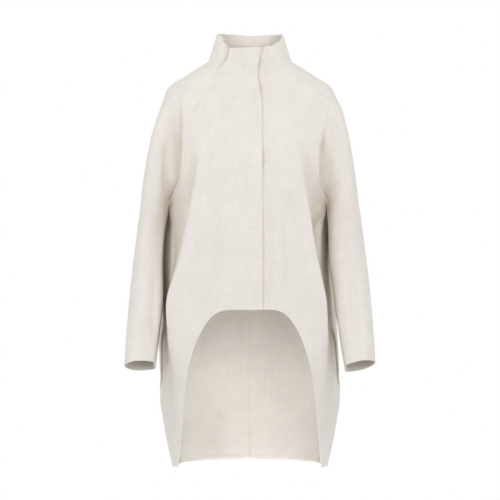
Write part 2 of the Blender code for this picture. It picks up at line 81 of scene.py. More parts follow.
# Side seam pocket
POCKET_HEAD = -594.0
POCKET_FOOT = -758.0
POCKET_PLACES = (3.16, 3.08, 3.0, 0.95, 0.82, 0.68)  # from under the back to under the front
POCKET_CLEAR = (0.3, 0.3, 0.3, 4.0, 5.0, 5.0)  # how far the facing lies under the cloth there

# Mesh density: columns across and rows down each kind of piece
FINE = 1.0
FRONT_MESH = (120, 260)
BACK_MESH = (96, 210)
SLEEVE_MESH = (76, 210)
COLLAR_MESH = (80, 28)  # columns on each of the collar's three stretches
POCKET_MESH = (24, 44)
CROWDING = 0.6  # how much closer the rows and columns lie near a piece's edges

# Cut edges and seams
EDGE_ROUND = 1.45
SEAM_ROUND = 0.02
ROUND_STEPS = 4
SHARP = 55.0  # an edge that turns more than this is drawn sharp
DRAW_IN = 8.0  # the stretch beside an edge over which its rounding is taken up
RAISED = {"right": 5.0, "left": 0.5, "back": 1.6}  # the right front raglan seam shows most
RAISED_SPAN = (-225.0, -150.0)  # heights over which a raised seam begins to show
CALM = 14.0  # creases die out over this distance from a seam
HEM_STITCH = 9.0
CUFF_STITCH = 10.0
COLLAR_STITCH = 5.0
CENTRE_FELL = 8.5  # width of the felled seam inside the centre back
TUCK = -14.0  # the collar is tucked in under the right front at its top
TUCK_SPAN = (NECK_TIP - 2, NECK_TIP + 15)
TUCK_REACH = {"front": 3.0, "collar": 10.0}
GAPE_REACH = 20.0  # how far in from the front edge its gaping is felt
FACING = 62.0  # the inner edge of the front facing shows faintly this far from the front edge

# Each piece has its own faint unevenness
FRONT_SEED = {"right": 1, "left": 2}
BACK_SEED = {"right": 3, "left": 4}
SLEEVE_SEED = {"front": 5, "back": 7}
COLLAR_SEED = 9
# Its waves: length, tilt in degrees, height
SLACK = ((170, 12, 0.5), (118, -25, 0.4), (83, 55, 0.28), (57, -8, 0.2))


def table(columns, *rows):
    """Rows of a table as one array for each named column, in the order of the first column."""
    values = np.array(sorted(rows), float).T
    return dict(zip(columns.split(), values))


# Raglan seams above the underarm, on the front and on the back.
RAGLAN = table(
    "z front_x front_y back_x back_y",
    (70, 44, -52, 44, 44),
    (34, 50, -57, 50, 49),
    (0, 58, -64, 58, 53),
    (-22, 74, -68, 74, 60),
    (-57, 82, -81, 84, 75),
    (-80, 98, -90, 99, 84),
    (-108, 119, -97, 120, 93),
    (-146, 135, -106, 136, 101),
    (-180, 142, -108, 143, 103),
    (-227, 148, -100, 149, 94),
    (-275, 156, -84, 157, 74),
    (-305, 167, -60, 168, 47),
    (-320, 175, -34, 176, 22),
    (-335, 183, -3, 183, -3),
)

# Side seam below the underarm.
SIDE = table(
    "z seam_x seam_y",
    (-335, 183, -3),
    (-350, 182.2, -3.5),
    (-375, 176, -6),
    (-420, 174, -12),
    (-500, 177, -18),
    (-572, 184, -22),
    (-600, 187, -25),
    (-640, 196, -19),
    (-690, 202, -11),
    (-735, 207, -3),
    (-757, 209.5, 0),
    (-786, 209.5, 5),
    (-833, 203, 10),
    (-880, 195, 12),
    (-943, 181, 15),
)

# Side seam pocket: how far its two edges stand off the seam line.
POCKET = table(
    "z front_x front_y back_x back_y",
    (POCKET_FOOT, 0, 0, 0, 0),
    (-735, -7, -13, 1, 1),
    (-690, -14, -26, 4, 6),
    (-640, -9, -21, 7, 11),
    (POCKET_HEAD, 0, 0, 0, 0),
)

# Front panel: centre front, and the fold where the chest turns to the side; bend is its crispness.
FRONT = table(
    "z cf_y fold_x fold_y fold_turn bend",
    (70, -55, 26, -54.5, 3, 0),
    (34, -62, 30, -61, 4, 0),
    (0, -72, 36, -70.5, 6, 0),
    (-22, -79, 42, -77, 7, 0),
    (-57, -92, 48, -90, 8, 0),
    (-108, -111, 66, -108, 9, 0),
    (-146, -124, 84, -119, 12, 0),
    (-180, -133, 100, -126, 22, 6),
    (-227, -143, 118, -131, 36, 20),
    (-275, -149, 127, -134, 47, 34),
    (-335, -152, 141, -130, 52, 44),
    (-420, -155, 155, -126, 54, 52),
    (-500, -156, 170, -120, 54, 50),
    (-572, -154, 179, -112, 54, 40),
    (-640, -147, 178, -104, 57, 20),
    (-690, -140, 174, -97, 58, 6),
    (-757, -127, 173, -79, 52, 0),
    (-833, -112, 165, -62, 45, 0),
    (-943, -85, 148, -30, 40, 0),
)

# Back panel: where it turns from side to back, and centre back.
BACK = table(
    "z turn_x turn_y turn cb_y",
    (70, 24, 47.5, 6, 49),
    (34, 28, 53, 6, 54),
    (0, 33, 59, 7, 60),
    (-22, 42, 70, 8, 72),
    (-57, 50, 88, 9, 91),
    (-108, 68, 108, 10, 112),
    (-146, 82, 119, 12, 124),
    (-180, 93, 127, 18, 133),
    (-227, 108, 135, 30, 143),
    (-275, 128, 137, 45, 151),
    (-335, 183, 116, 70, 160),
    (-375, 192, 104, 73, 166),
    (-420, 199, 95, 78, 172),
    (-500, 203, 84, 84, 182),
    (-572, 207, 76, 84, 190),
    (-640, 208, 72, 80, 195),
    (-690, 207, 74, 76, 197),
    (-757, 202, 80, 70, 197),
    (-833, 188, 92, 62, 188),
    (-943, 152, 98, 52, 160),
)

# Sleeve: underarm seam (below the underarm) and overarm line.
SLEEVE_LINE = table(
    "z inner_x inner_y outer_x outer_y",
    (70, 184, -3, 75, -4),
    (34, 184, -3, 87, -4),
    (0, 184, -3, 98.5, -4),
    (-8, 184, -3, 111, -3),
    (-18, 184, -3, 128, -2),
    (-36, 184, -3, 156, 0),
    (-50, 184, -3, 180, 2),
    (-64, 184, -3, 193, 3),
    (-78, 184, -3, 199, 4),
    (-106, 184, -3, 208.5, 5),
    (-134, 184, -3, 215.5, 6),
    (-176, 184, -3, 225, 7),
    (-218, 184, -3, 234, 8),
    (-274, 184, -3, 245, 8),
    (-335, 184, -3, 254.5, 6),
    (-350, 184.8, -3, 257, 5),
    (-375, 189, 0, 260.5, 4),
    (-420, 192, 0, 266, 0),
    (-500, 195, -12, 275, -14),
    (-572, 199, -28, 281, -32),
    (-640, 210, -50, 285, -52),
    (-725, 221, -78, 288.5, -78),
)

# Sleeve front: the crease beside the body and the front of the sleeve, with their turns.
SLEEVE_FRONT = table(
    "z crease_x crease_y crease_turn step face_x face_y face_turn",
    (70, 52, -48, 42, 0, 65, -32, 62),
    (34, 58, -53, 40, 0, 75, -34, 60),
    (0, 66, -60, 32, 0, 85, -40, 55),
    (-22, 84, -63, 25, 0, 106, -48, 40),
    (-57, 108, -73, 22, 0, 144, -54, 36),
    (-80, 147, -75, 22, 0, 172, -58, 32),
    (-108, 158, -80, 4, 6, 184, -77, 16),
    (-146, 158, -81, -4, 17, 194, -91, 9),
    (-180, 158, -78, -6, 24, 202, -97, 6),
    (-227, 159, -71, -8, 27, 210, -99, 4),
    (-275, 163, -56, -12, 22, 215, -97, 3),
    (-305, 175, -35, -30, 12, 217, -94, 2),
    (-335, 190, -14, -70, 2, 218, -90, 0),
    (-375, 191, -22, -84, 0, 222, -80, 0),
    (-420, 192, -38, -88, 0, 227, -76, 0),
    (-500, 195, -50, -90, 0, 234, -82, 0),
    (-572, 200, -66, -90, 0, 240, -93, 0),
    (-725, 219, -104, -85, 0, 253, -127, 0),
)

# The left arm's front crease runs further out near the shoulder, and its fold starts lower.
CREASE_SHIFT = table(
    "z left left_step right right_step",
    (-70, 0, 0, 0, 1),
    (-90, 16, 0, 0, 1),
    (-108, 23, 0.3, 0, 1),
    (-146, 13, 0.8, 0, 1),
    (-180, 6, 1, 0, 1),
    (-227, 1, 1, 0, 1),
    (-275, 0, 1, 0, 1),
)

# Sleeve back, mirrored in the same way.
SLEEVE_REAR = table(
    "z crease_x crease_y crease_turn step face_x face_y face_turn",
    (70, 52, 40, 42, 0, 65, 26, 62),
    (34, 58, 45, 40, 0, 75, 28, 60),
    (0, 66, 49, 32, 0, 85, 31, 55),
    (-22, 84, 56, 25, 0, 106, 44, 40),
    (-57, 97, 70, 22, 0, 140, 55, 34),
    (-80, 120, 77, 18, 0, 160, 66, 28),
    (-108, 146, 83, 8, 3, 178, 78, 16),
    (-146, 156, 85, -10, 8, 190, 90, 9),
    (-180, 160, 82, -20, 11, 198, 96, 6),
    (-227, 164, 73, -28, 12, 207, 98, 4),
    (-275, 169, 55, -38, 9, 213, 96, 3),
    (-305, 178, 32, -50, 5, 216, 93, 2),
    (-335, 190, 8, -70, 1, 220, 89, 0),
    (-375, 191, 20, -82, 0, 224, 80, 0),
    (-420, 194, 33, -88, 0, 228, 70, 0),
    (-500, 197, 22, -90, 0, 236, 51, 0),
    (-572, 202, 6, -90, 0, 242, 27, 0),
    (-725, 219, -52, -85, 0, 254, -31, 0),
)

# Arched front hem: half width of the opening at each height.
ARCH = table(
    "z half_width",
    (-572, 48),
    (-573, 58),
    (-576, 69),
    (-585, 83),
    (-594, 92),
    (-610, 103),
    (-628, 113),
    (-650, 122),
    (-673, 129.5),
    (-696, 135),
    (-731, 141),
    (-802, 148),
    (-874, 157),
    (-943, 168),
)

# Collar: neckline seam, and top edge on the wearer's right and left, by place round the neck.
COLLAR = table(
    "t neckline top_right top_left",
    (1.0, NECK_TIP, COLLAR_FRONT, COLLAR_FRONT + LEFT_RISE),
    (1.3, -15, 42, 40),
    (1.6, -7, 58, 49),
    (2.0, 0, 67, 65),
    (2.5, 3, 70, 69),
    (3.0, 5, 71, 70),
    (4.0, NAPE, 68, 68),
)

# Largest folds: soft flutes that hang from the height top and are full at foot.
# place is t on the body, width the half width in t, depth is outwards.
FLUTES = {
    "right": table(
        "place width depth top foot",
        (0.24, 0.11, -5.0, -300, -580),
        (0.42, 0.12, 5.0, -330, -600),
        (3.45, 0.14, 7.0, -420, -900),
        (3.72, 0.13, -7.0, -450, -930),
    ),
    "left": table(
        "place width depth top foot",
        (0.30, 0.10, -4.5, -320, -580),
        (0.44, 0.11, 4.5, -300, -600),
        (3.50, 0.14, 6.0, -430, -900),
        (3.78, 0.13, -6.5, -400, -930),
    ),
}

# Listed creases, in the front or back view: depth is outwards, so a trough is below zero.
CREASES = {
    "front_right": table(
        "x0 z0 x1 z1 bow width depth",
        (-63, -240, -72, -600, 0, 14, -7.0),
        (-12, -330, -14, -600, 0, 16, 2.5),
        (-125, -190, -190, -545, 0, 13, -19.0),
        (-30, -60, -52, -150, 4, 14, -1.0),
    ),
    "front_left": table(
        "x0 z0 x1 z1 bow width depth",
        (41, -300, 38, -600, 0, 11, -3.5),
        (80, -300, 93, -600, 0, 14, -9.0),
        (124, -190, 190, -545, 0, 13, -16.0),
        (30, 22, 58, -10, 2, 6, -1.6),
        (36, 21, 42, 13, 0, 5, -1.6),
    ),
    "sleeve_right_front": table(
        "x0 z0 x1 z1 bow width depth",
        (-204, -180, -206, -360, 0, 7, 3.0),
        (-188, -170, -190, -345, 0, 10, -7.0),
        (-165, -105, -164, -300, 0, 9, -5.0),
        (-216, -470, -220, -670, 0, 11, -5.0),
        (-238, -612, -229, -690, 0, 6, -1.5),
        (-262, -430, -266, -640, 3, 14, -1.5),
    ),
    "sleeve_left_front": table(
        "x0 z0 x1 z1 bow width depth",
        (190, -90, 167, -205, 0, 10, 9.0),
        (172, -205, 174, -310, 0, 9, -6.0),
        (188, -290, 190, -430, 0, 7, 3.0),
        (230, -440, 244, -700, 0, 13, -11.0),
        (220, -500, 226, -660, 0, 8, 1.0),
        (196, -150, 206, -280, 3, 10, -1.5),
    ),
    "sleeve_right_back": table(
        "x0 z0 x1 z1 bow width depth",
        (-196, -170, -203, -350, 0, 12, -4.0),
        (-212, -375, -264, -440, 8, 9, -4.0),
        (-216, -430, -260, -474, 6, 8, -3.0),
        (-226, -490, -238, -690, 0, 12, -5.0),
    ),
    "sleeve_left_back": table(
        "x0 z0 x1 z1 bow width depth",
        (194, -180, 202, -360, 0, 12, -3.5),
        (210, -390, 266, -452, 8, 9, -4.0),
        (234, -470, 246, -690, 0, 12, -5.5),
    ),
    "back_right": table(
        "x0 z0 x1 z1 bow width depth",
        (-62, -190, -78, -640, 4, 20, -6.0),
        (-118, -340, -128, -860, 0, 20, -5.0),
        (-30, -480, -36, -960, 0, 16, -5.0),
    ),
    "back_left": table(
        "x0 z0 x1 z1 bow width depth",
        (72, -210, 84, -580, -4, 20, -6.0),
        (108, -420, 126, -880, 0, 20, -5.0),
        (46, -540, 40, -960, 0, 16, -5.5),
    ),
}

# Where the front edge stands off between its fastenings.
GAPE = table(
    "z span size",
    (24, 9, 6.0),
    (-10, 11, 6.0),
    (-66, 16, 7.0),
    (-230, 24, 5.0),
)

# Wool, floor and light
IVORY = (0.872, 0.812, 0.728)
DARK_THREAD = 0.925  # shares of the ivory in the darkest and the palest threads
PALE_THREAD = 1.06
FLOOR = -1300.0
FLOOR_RADIUS = 1.3  # metres
FLOOR_GREY = (0.6, 0.6, 0.6, 1)
COOL = (1.0, 1.018, 1.06)  # the lamps and the room; the wall behind is white
COLD = (0.98, 1.03, 1.1)  # the lamp below the hem
WALL = 0.97  # where the wall behind starts, as the room's y
# Brightness of the room along the line of view: camera side, sides, and the white wall behind.
ROOM = table(
    "y level",
    (-1.0, 0.32),
    (-0.5, 0.4),
    (-0.2, 1.04),
    (0.25, 1.04),
    (0.6, 0.5),
    (0.965, 0.5),
    (0.975, 1.0),
)
COAT_MIDDLE = (0.0, 0.0, -0.45)
AIMS = {"hem": (0.0, 0.17, -0.82), "neck": (0.0, 0.045, 0.045)}  # the others aim at the middle
# Soft boxes: name, place and size in metres, power in watts, spread in degrees
SOFT_BOXES = (
    ("key", -1.5, -2.7, 0.15, 1.4, 24.6, 180),
    ("fill", 1.2, -3.0, 0.15, 1.4, 30.5, 180),
    ("top", 0.0, -0.4, 2.2, 2.0, 0.3, 180),
    ("neck", 0.0, -0.35, 0.3, 0.05, 0.0075, 22),
    ("hem", 0.0, -0.13, -1.25, 0.3, 0.2, 40),
)

# Camera, in metres: how far off, at what height, and the breadth of the picture at the coat
CAMERA_FAR = 4.0
CAMERA_HEIGHT = -0.437
PICTURE_BREADTH = 1.165
FILM = 36.0  # breadth of the sensor, in millimetres


def column(rows, key, name, at):
    """A table column at given places, on a smooth curve that doesn't overshoot its rows."""
    x, y = rows[key], rows[name]
    step = np.diff(x)
    slope = np.diff(y) / step
    tangent = np.concatenate([[slope[0]], np.zeros(len(x) - 2), [slope[-1]]])
    same_sign = slope[:-1] * slope[1:] > 0
    weight = step[:-1] / (step[:-1] + step[1:])
    blend = np.where(same_sign, weight * slope[1:] + (1 - weight) * slope[:-1], 1.0)
    tangent[1:-1] = np.where(same_sign, slope[:-1] * slope[1:] / blend, 0.0)
    at = np.clip(at, x[0], x[-1])
    i = np.clip(np.searchsorted(x, at) - 1, 0, len(step) - 1)
    h = step[i]
    r = (at - x[i]) / h
    rise = y[i] * (2 * r**3 - 3 * r**2 + 1) + y[i + 1] * (3 * r**2 - 2 * r**3)
    return rise + h * (tangent[i] * (r**3 - 2 * r**2 + r) + tangent[i + 1] * (r**3 - r**2))


def section(rows, z, *names):
    """Several columns of a section table at the heights z."""
    return [column(rows, "z", name, z) for name in names]


def direction(turn):
    """Unit vectors at an angle from +X towards +Y."""
    angle = np.radians(turn)
    return np.stack([np.cos(angle), np.sin(angle)], axis=-1)


def unit(vectors):
    """The same vectors, 1 long."""
    return vectors / np.maximum(np.linalg.norm(vectors, axis=-1, keepdims=True), 1e-9)


def arc(start, start_way, end, end_way, r):
    """A curve from start to end that leaves and arrives along the two ways."""
    reach = np.linalg.norm(end - start, axis=-1, keepdims=True)
    r = r[..., None]
    return (
        start * (2 * r**3 - 3 * r**2 + 1)
        + end * (3 * r**2 - 2 * r**3)
        + reach * (start_way * (r**3 - 2 * r**2 + r) + end_way * (r**3 - r**2))
    )


def smooth(value, low, high):
    """0 below low, 1 above high, and a soft step between."""
    r = np.clip((value - low) / (high - low), 0, 1)
    return r * r * (3 - 2 * r)


def pair(rows, z, name):
    """A point of the sections at the heights z, from its x and y columns."""
    return np.stack(section(rows, z, name + "_x", name + "_y"), axis=-1)


def outer_seam(z, part):
    """The outer seam of the front or back: raglan seam, then side seam and pocket edge."""
    side = pair(SIDE, z, "seam") + pair(POCKET, z, part)
    return np.where((z > UNDERARM)[..., None], pair(RAGLAN, z, part), side)


def body_front(t, z):
    """Section from centre front (t 0) over the fold to the outer seam (t 1)."""
    cf_y, turn, bend = section(FRONT, z, "cf_y", "fold_turn", "bend")
    centre = np.stack([np.zeros_like(cf_y), cf_y], axis=-1)
    fold, edge = pair(FRONT, z, "fold"), outer_seam(z, "front")
    first = arc(centre, direction(0 * turn), fold, direction(turn - bend / 2), np.clip(2 * t, 0, 1))
    second = arc(fold, direction(turn + bend / 2), edge, unit(edge - fold), np.clip(2 * t - 1, 0, 1))
    return np.where((t < 0.5)[..., None], first, second)


def body_back(t, z):
    """Section from the outer seam (t 3) round to centre back (t 4)."""
    cb_y, turn = section(BACK, z, "cb_y", "turn")
    centre = np.stack([np.zeros_like(cb_y), cb_y], axis=-1)
    edge, shoulder = outer_seam(z, "back"), pair(BACK, z, "turn")
    way = direction(180 - turn)
    first = arc(edge, unit(shoulder - edge), shoulder, way, np.clip(2 * (t - 3), 0, 1))
    second = arc(shoulder, way, centre, direction(180 + 0 * turn), np.clip(2 * (t - 3.5), 0, 1))
    return np.where((t < 3.5)[..., None], first, second)


def sleeve_half(r, z, rows, seam, flip, shift=0.0, fold=1.0):
    """Section from the seam over a fold, its crease and the sleeve's face to the overarm line."""
    crease, face = pair(rows, z, "crease"), pair(rows, z, "face")
    crease[..., 0] += shift
    face[..., 0] += shift / 4
    crease_turn, face_turn, step = section(rows, z, "crease_turn", "face_turn", "step")
    step = step * fold
    outer = pair(SLEEVE_LINE, z, "outer")
    face_way = direction(flip * face_turn)
    crease_way = direction(flip * crease_turn)
    edge = crease + np.stack([0 * step, -flip * step], axis=-1)
    knee = 0.2 - 0.05 * smooth(step, 0, 8)
    to_edge, to_crease = np.clip(r / knee, 0, 1), smooth(r, 0.1, 0.2)
    strip = seam + (edge - seam) * to_edge[..., None] + (crease - edge) * to_crease[..., None]
    inner = arc(crease, crease_way, face, face_way, np.clip((r - 0.2) / 0.4, 0, 1))
    round_over = arc(face, face_way, outer, direction(flip * 90.0), np.clip((r - 0.6) / 0.4, 0, 1))
    return np.where((r < 0.2)[..., None], strip, np.where((r < 0.6)[..., None], inner, round_over))


def sleeve(t, z, side):
    """Section round the sleeve, from the front seam (t 1) to the back seam (t 3)."""
    inner = pair(SLEEVE_LINE, z, "inner")
    above = (z > UNDERARM)[..., None]
    front_seam = np.where(above, pair(RAGLAN, z, "front"), inner)
    rear_seam = np.where(above, pair(RAGLAN, z, "back"), inner)
    shift, fold = section(CREASE_SHIFT, z, side, side + "_step")
    front = sleeve_half(np.clip(t - 1, 0, 1), z, SLEEVE_FRONT, front_seam, 1, shift, fold)
    rear = sleeve_half(np.clip(3 - t, 0, 1), z, SLEEVE_REAR, rear_seam, -1)
    return np.where((t < 2)[..., None], front, rear)


def lean(t, z, side, on_sleeve):
    """How far the body and the insides of the sleeves lean outwards on one side."""
    low, high = LEAN_SPAN
    amount = np.sin(np.pi * np.clip((z - low) / (high - low), 0, 1)) ** 2
    round_body = smooth(t, 0.2, 0.6) * smooth(4 - t, 0.2, 0.6)
    over_arm = smooth(np.abs(t - 2), 0.0, 0.6)
    lower_arm = 1 - ARM_STAYS * smooth(-z, 450, 560) * on_sleeve
    return LEAN * amount * round_body * over_arm * lower_arm * (1 if side == "right" else -1)


def level_point(t, z, side, of_sleeve):
    """Points of the half section, walking on past a seam to what is sewn there."""
    sign = np.where((t < 0) | (t > 4), -1.0, 1.0)
    t = np.where(t < 0, -t, np.where(t > 4, 8 - t, t))
    below = z <= UNDERARM
    if of_sleeve:
        t = np.where(below & (t < 1), t + 2, np.where(below & (t > 3), t - 2, t))
    else:
        t = np.where(below & (t > 1) & (t < 2), t + 2, t)
        t = np.where(below & (t >= 2) & (t < 3), t - 2, t)
    edge = 1e-6 if of_sleeve else -1e-6  # a seam point belongs to the piece being made
    points = np.where(
        (t < 1 - edge)[..., None],
        body_front(t, z),
        np.where((t > 3 + edge)[..., None], body_back(t, z), sleeve(t, z, side)),
    )
    on_sleeve = (t >= 1 - edge) & (t <= 3 + edge)
    x = (points[..., 0] + lean(t, z, side, on_sleeve)) * sign
    return np.stack([x, points[..., 1], z], axis=-1)


def outward(t, z, side, of_sleeve):
    """Unit normals of the sections, pointing out of the coat and halving the angle at a crease."""
    step_t, step_z = 0.01, 1.0
    here = level_point(t, z, side, of_sleeve)
    ahead = unit(level_point(t + step_t, z, side, of_sleeve) - here)
    behind = unit(here - level_point(t - step_t, z, side, of_sleeve))
    down = np.where(z <= UNDERARM, -step_z, 0.0)
    high = level_point(t, z + down + step_z, side, of_sleeve)
    low = level_point(t, z + down, side, of_sleeve)
    return unit(np.cross(ahead + behind, high - low))


def flutes(t, z, side):
    """How far the large hanging folds stand out at each point."""
    rows = FLUTES[side]
    height = np.zeros_like(z)
    for place, width, depth, top, foot in zip(*(rows[k] for k in rows)):
        across = np.exp(-(((t - place) / width) ** 2))
        height += depth * across * smooth(-z, -top, -foot)
    return height


def crowd(count):
    """Places from 0 to 1 that lie closer together near both ends."""
    u = np.linspace(0, 1, max(4, int(count * FINE)) + 1)
    return u - CROWDING * np.sin(2 * np.pi * u) / (2 * np.pi)


def distances(points):
    """How far each point lies from the four edges: first and last column, head and foot row."""
    across = np.linalg.norm(np.diff(points, axis=1), axis=-1)
    down = np.linalg.norm(np.diff(points, axis=0), axis=-1)
    first = np.pad(np.cumsum(across, axis=1), ((0, 0), (1, 0)))
    head = np.pad(np.cumsum(down, axis=0), ((1, 0), (0, 0)))
    return {"first": first, "last": first[:, -1:] - first, "head": head, "foot": head[-1:] - head}


def draw_in(points, rounds):
    """Draws the edges of a grid in by the radius of their rounding."""
    for name, axis, back in (("head", 0, 0), ("foot", 0, 1), ("first", 1, 0), ("last", 1, 1)):
        lines = np.swapaxes(points, 0, axis)
        lines = lines[::-1] if back else lines
        step = np.diff(lines, axis=0)
        length = np.linalg.norm(step, axis=-1)
        far = np.pad(np.cumsum(length, axis=0), ((1, 0), (0, 0)))
        way = unit(np.concatenate([step, step[-1:]]))
        fade = np.clip(1 - far / DRAW_IN, 0, 1) ** 2
        lines += way * (rounds[name] * fade)[..., None]


def rim(rows, columns):
    """Grid indices of the edge, once round, and which way is out for each of them."""
    top = [(0, j, -1, 0, "head") for j in range(columns - 1)]
    last = [(i, columns - 1, 0, 1, "last") for i in range(rows - 1)]
    foot = [(rows - 1, j, 1, 0, "foot") for j in range(columns - 1, 0, -1)]
    first = [(i, 0, 0, -1, "first") for i in range(rows - 1, 0, -1)]
    return top + last + foot + first


def shell(name, outer, inner, rounds):
    """A closed shell between two grids of points, in millimetres, with rounded edges."""
    far = distances(outer)
    draw_in(outer, rounds)
    draw_in(inner, rounds)
    rows, columns = outer.shape[:2]
    count = rows * columns
    index = np.arange(count).reshape(rows, columns)
    corners = (index[:-1, :-1], index[:-1, 1:], index[1:, 1:], index[1:, :-1])
    quads = np.stack(corners, axis=-1).reshape(-1, 4)
    edge = rim(rows, columns)
    i, j, di, dj = (np.array([row[k] for row in edge]) for k in range(4))
    beside = outer[i - di, j - dj]
    through = unit(inner[i, j] - outer[i, j])
    way = outer[i, j] - beside
    corner = [k for k, row in enumerate(edge) if row[4] != edge[k - 1][4]]
    for k in corner:
        row, before = edge[k], edge[k - 1]
        other_way = outer[row[0], row[1]] - outer[row[0] - before[2], row[1] - before[3]]
        way[k] = unit(way[k]) + unit(other_way)
    way = unit(way - through * (way * through).sum(axis=-1, keepdims=True))
    reach = np.array([rounds[row[4]] for row in edge])
    for k in corner:
        reach[k] = min(rounds[edge[k][4]], rounds[edge[k - 1][4]])
    middle, half = (outer[i, j] + inner[i, j]) / 2, (outer[i, j] - inner[i, j]) / 2
    loops = [index[i, j]]
    points = [outer.reshape(-1, 3), inner.reshape(-1, 3)]
    for k in range(1, ROUND_STEPS):
        angle = math.pi * k / ROUND_STEPS
        points.append(middle + half * math.cos(angle) + way * (reach * math.sin(angle))[:, None])
        loops.append(2 * count + (k - 1) * len(edge) + np.arange(len(edge)))
    loops.append(count + index[i, j])
    sides = []
    for upper, lower in zip(loops[:-1], loops[1:]):
        sides.append(np.stack([np.roll(upper, -1), upper, lower, np.roll(lower, -1)], axis=-1))
    faces = np.concatenate([quads, quads[:, ::-1] + count, *sides])
    verts = np.concatenate(points) * MM
    grain = np.stack([far["first"], far["head"]], axis=-1) * MM
    grain = np.concatenate([grain.reshape(-1, 2)] * 2 + [grain[i, j]] * (ROUND_STEPS - 1))
    a, b, c, d = (verts[faces[:, k]] for k in range(4))
    volume = (a * np.cross(b, c)).sum() + (a * np.cross(c, d)).sum()
    if volume < 0:
        faces = faces[:, ::-1]
    mesh = bpy.data.meshes.new(name)
    mesh.vertices.add(len(verts))
    mesh.vertices.foreach_set("co", verts.ravel())
    mesh.loops.add(faces.size)
    mesh.loops.foreach_set("vertex_index", faces.ravel())
    mesh.polygons.add(len(faces))
    mesh.polygons.foreach_set("loop_start", np.arange(0, faces.size, 4))
    layer = mesh.uv_layers.new(name="grain")
    layer.data.foreach_set("uv", grain[faces.ravel()].ravel())
    mesh.update(calc_edges=True)
    mesh.validate()
    mesh.shade_smooth()
    mesh.set_sharp_from_angle(angle=math.radians(SHARP))
    cloth = bpy.data.objects.new(name, mesh)
    bpy.context.scene.collection.objects.link(cloth)
    return cloth


def base_points(t, z, side, of_sleeve):
    """Points on the outside of the plain form, and the way out of the cloth, for one side."""
    mirror = np.array([-1.0 if side == "right" else 1.0, 1.0, 1.0])
    way = outward(t, z, side, of_sleeve)
    points = level_point(t, z, side, of_sleeve)
    if not of_sleeve:
        points = points + way * flutes(t, z, side)[..., None]
    return points * mirror, way * mirror


def hump(far, place, width):
    """1 at a distance from an edge, and dying out to both sides of it."""
    return np.exp(-(((far - place) / width) ** 2))


def folds(name, points):
    """Listed creases: each runs from x0, z0 to x1, z1 in the front or back view."""
    height = np.zeros(points.shape[:2])
    rows = CREASES[name]
    for x0, z0, x1, z1, bow, width, depth in zip(*(rows[k] for k in rows)):
        run = np.array([x1 - x0, z1 - z0])
        length = np.hypot(*run)
        run = run / length
        dx, dz = points[..., 0] - x0, points[..., 2] - z0
        r = (dx * run[0] + dz * run[1]) / length
        aside = dx * run[1] - dz * run[0] - bow * 4 * r * (1 - r)
        ends = smooth(r, -0.05, 0.35) * smooth(1 - r, -0.05, 0.35)
        height += depth * np.exp(-((aside / width) ** 2)) * ends
    return height


def slack(points, seed):
    """A faint unevenness all over the cloth."""
    height = np.zeros(points.shape[:2])
    for k, (long, tilt, size) in enumerate(SLACK):
        angle = math.radians(tilt + 17 * seed)
        along = points[..., 0] * math.cos(angle) + points[..., 2] * math.sin(angle) * 0.45
        start = 1.7 * k + 2.3 * seed
        height += size * np.sin(2 * np.pi * along / long + start + points[..., 1] / 61)
    return height


def pucker(along, seed):
    """Slight gathering along a sewn line."""
    return 1 + 0.45 * np.sin(along / 2.1 + seed) * np.sin(along / 13.7 + 2 * seed)


def sewn(far, along, seed):
    """The cloth beside a plain seam: a fine groove between two low swells."""
    return pucker(along, seed) * (0.24 * hump(far, 4.2, 2.6) - 0.1 * hump(far, 0, 1.6))


def stitched(far, place, along, seed):
    """A sunk line of stitches parallel to an edge."""
    sunk = -0.55 * hump(far, place, 1.1) * pucker(along, seed)
    return sunk + 0.3 * hump(far, place * 0.5, place * 0.4)


def felled(far, width):
    """A flat felled seam allowance, a little proud of the cloth."""
    step = smooth(far, 0.0, 1.2) * (1 - smooth(far, width - 0.7, width + 0.9))
    return 0.9 * step - 0.6 * hump(far, width + 0.6, 0.9) - 0.4 * hump(far, 0, 0.9)


def finish_piece(name, points, way, height, inside, rounds):
    """Makes a piece from its base points, its relief, and what shows on its inside only."""
    outer = points + way * height[..., None]
    inner = points + way * (height - CLOTH - inside)[..., None]
    cloth = shell(name + "_cloth", outer, inner, rounds)
    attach(cloth, "root")
    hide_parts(name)
    cloth.data.materials.append(wool)


def edges(*free):
    """Radius of rounding on the four edges of a piece: cut edges are named, others are seams."""
    rounds = dict.fromkeys(("head", "foot", "first", "last"), SEAM_ROUND)
    rounds.update({name: EDGE_ROUND for name in free})
    return rounds


def arch_line(side):
    """Places (t, z) along the front's lower edge, from its free edge to the side seam."""
    free = front_edge(np.array([FRONT_HEM]), side)[0]
    z = np.concatenate([[FRONT_HEM], np.linspace(FRONT_HEM, HEM, 400), [HEM]])
    half_width = column(ARCH, "z", "half_width", z)
    ladder = np.linspace(0, 1, 201)
    t = np.empty_like(z)
    for k, (height, width) in enumerate(zip(z, half_width)):
        x = body_front(ladder, np.full_like(ladder, height))[:, 0]
        widest = int(np.argmax(x)) + 1
        t[k] = np.interp(width, x[:widest], ladder[:widest])
    t[0], t[-1] = free, 1.0
    return t, z


def front_head(s, side):
    """Height of the front's top edge, from its free edge (s 0) to the collar's seam (s 1)."""
    return COLLAR_FRONT + LEFT_RISE * smooth(s, 0.25, 1.0) * (side == "left")


def front_edge(z, side):
    """Place of the front's free edge, past centre front, at each height."""
    if side == "left":
        return np.full_like(z, -UNDERLAP / PAST_CENTRE)
    low, high = EDGE_CURL_SPAN
    curl = np.sin(np.pi * np.clip((z - low) / (high - low), 0, 1)) ** 2
    return -(LAP - EDGE_CURL * curl) / PAST_CENTRE


